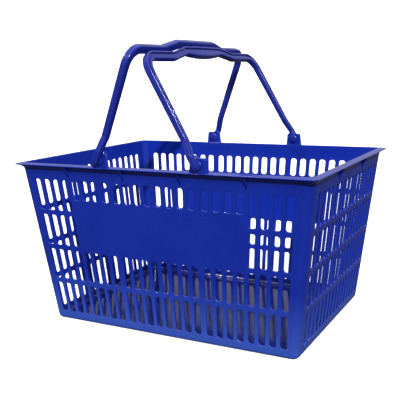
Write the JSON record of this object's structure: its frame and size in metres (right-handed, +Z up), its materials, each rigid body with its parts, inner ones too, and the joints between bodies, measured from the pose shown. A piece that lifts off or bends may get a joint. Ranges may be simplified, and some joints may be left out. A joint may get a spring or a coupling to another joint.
{
  "type": "shopping basket",
  "caption": "Open rectangular hand basket with tapered slotted walls, a closed floor, a flared rim and two bail handles that swing on lugs on the rim.",
  "frame": {"origin": "middle of the underside, on the surface the basket stands on", "axes": "+Z up, +X along the basket's length, Y along the hinge lines of the handles"},
  "size_m": [0.43, 0.3424, 0.3816],
  "materials": {
    "body_plastic": "royal blue injection-moulded polypropylene, glossy",
    "handle_plastic": "royal blue injection-moulded polypropylene, glossy"
  },
  "bodies": {
    "basket": {"basket_body": "body_plastic"},
    "left_bail": {"handle_left": "handle_plastic"},
    "right_bail": {"handle_right": "handle_plastic"}
  },
  "joints": [
    {"name": "left_handle_hinge", "type": "hinge", "parent": "basket", "child": "left_bail", "pos_m": [-0.07, 0, 0.2335], "axis": [0, -1, 0], "range_deg": [0, 111.4]},
    {"name": "right_handle_hinge", "type": "hinge", "parent": "basket", "child": "right_bail", "pos_m": [0.07, 0, 0.2335], "axis": [0, 1, 0], "range_deg": [0, 120.1]}
  ]
}
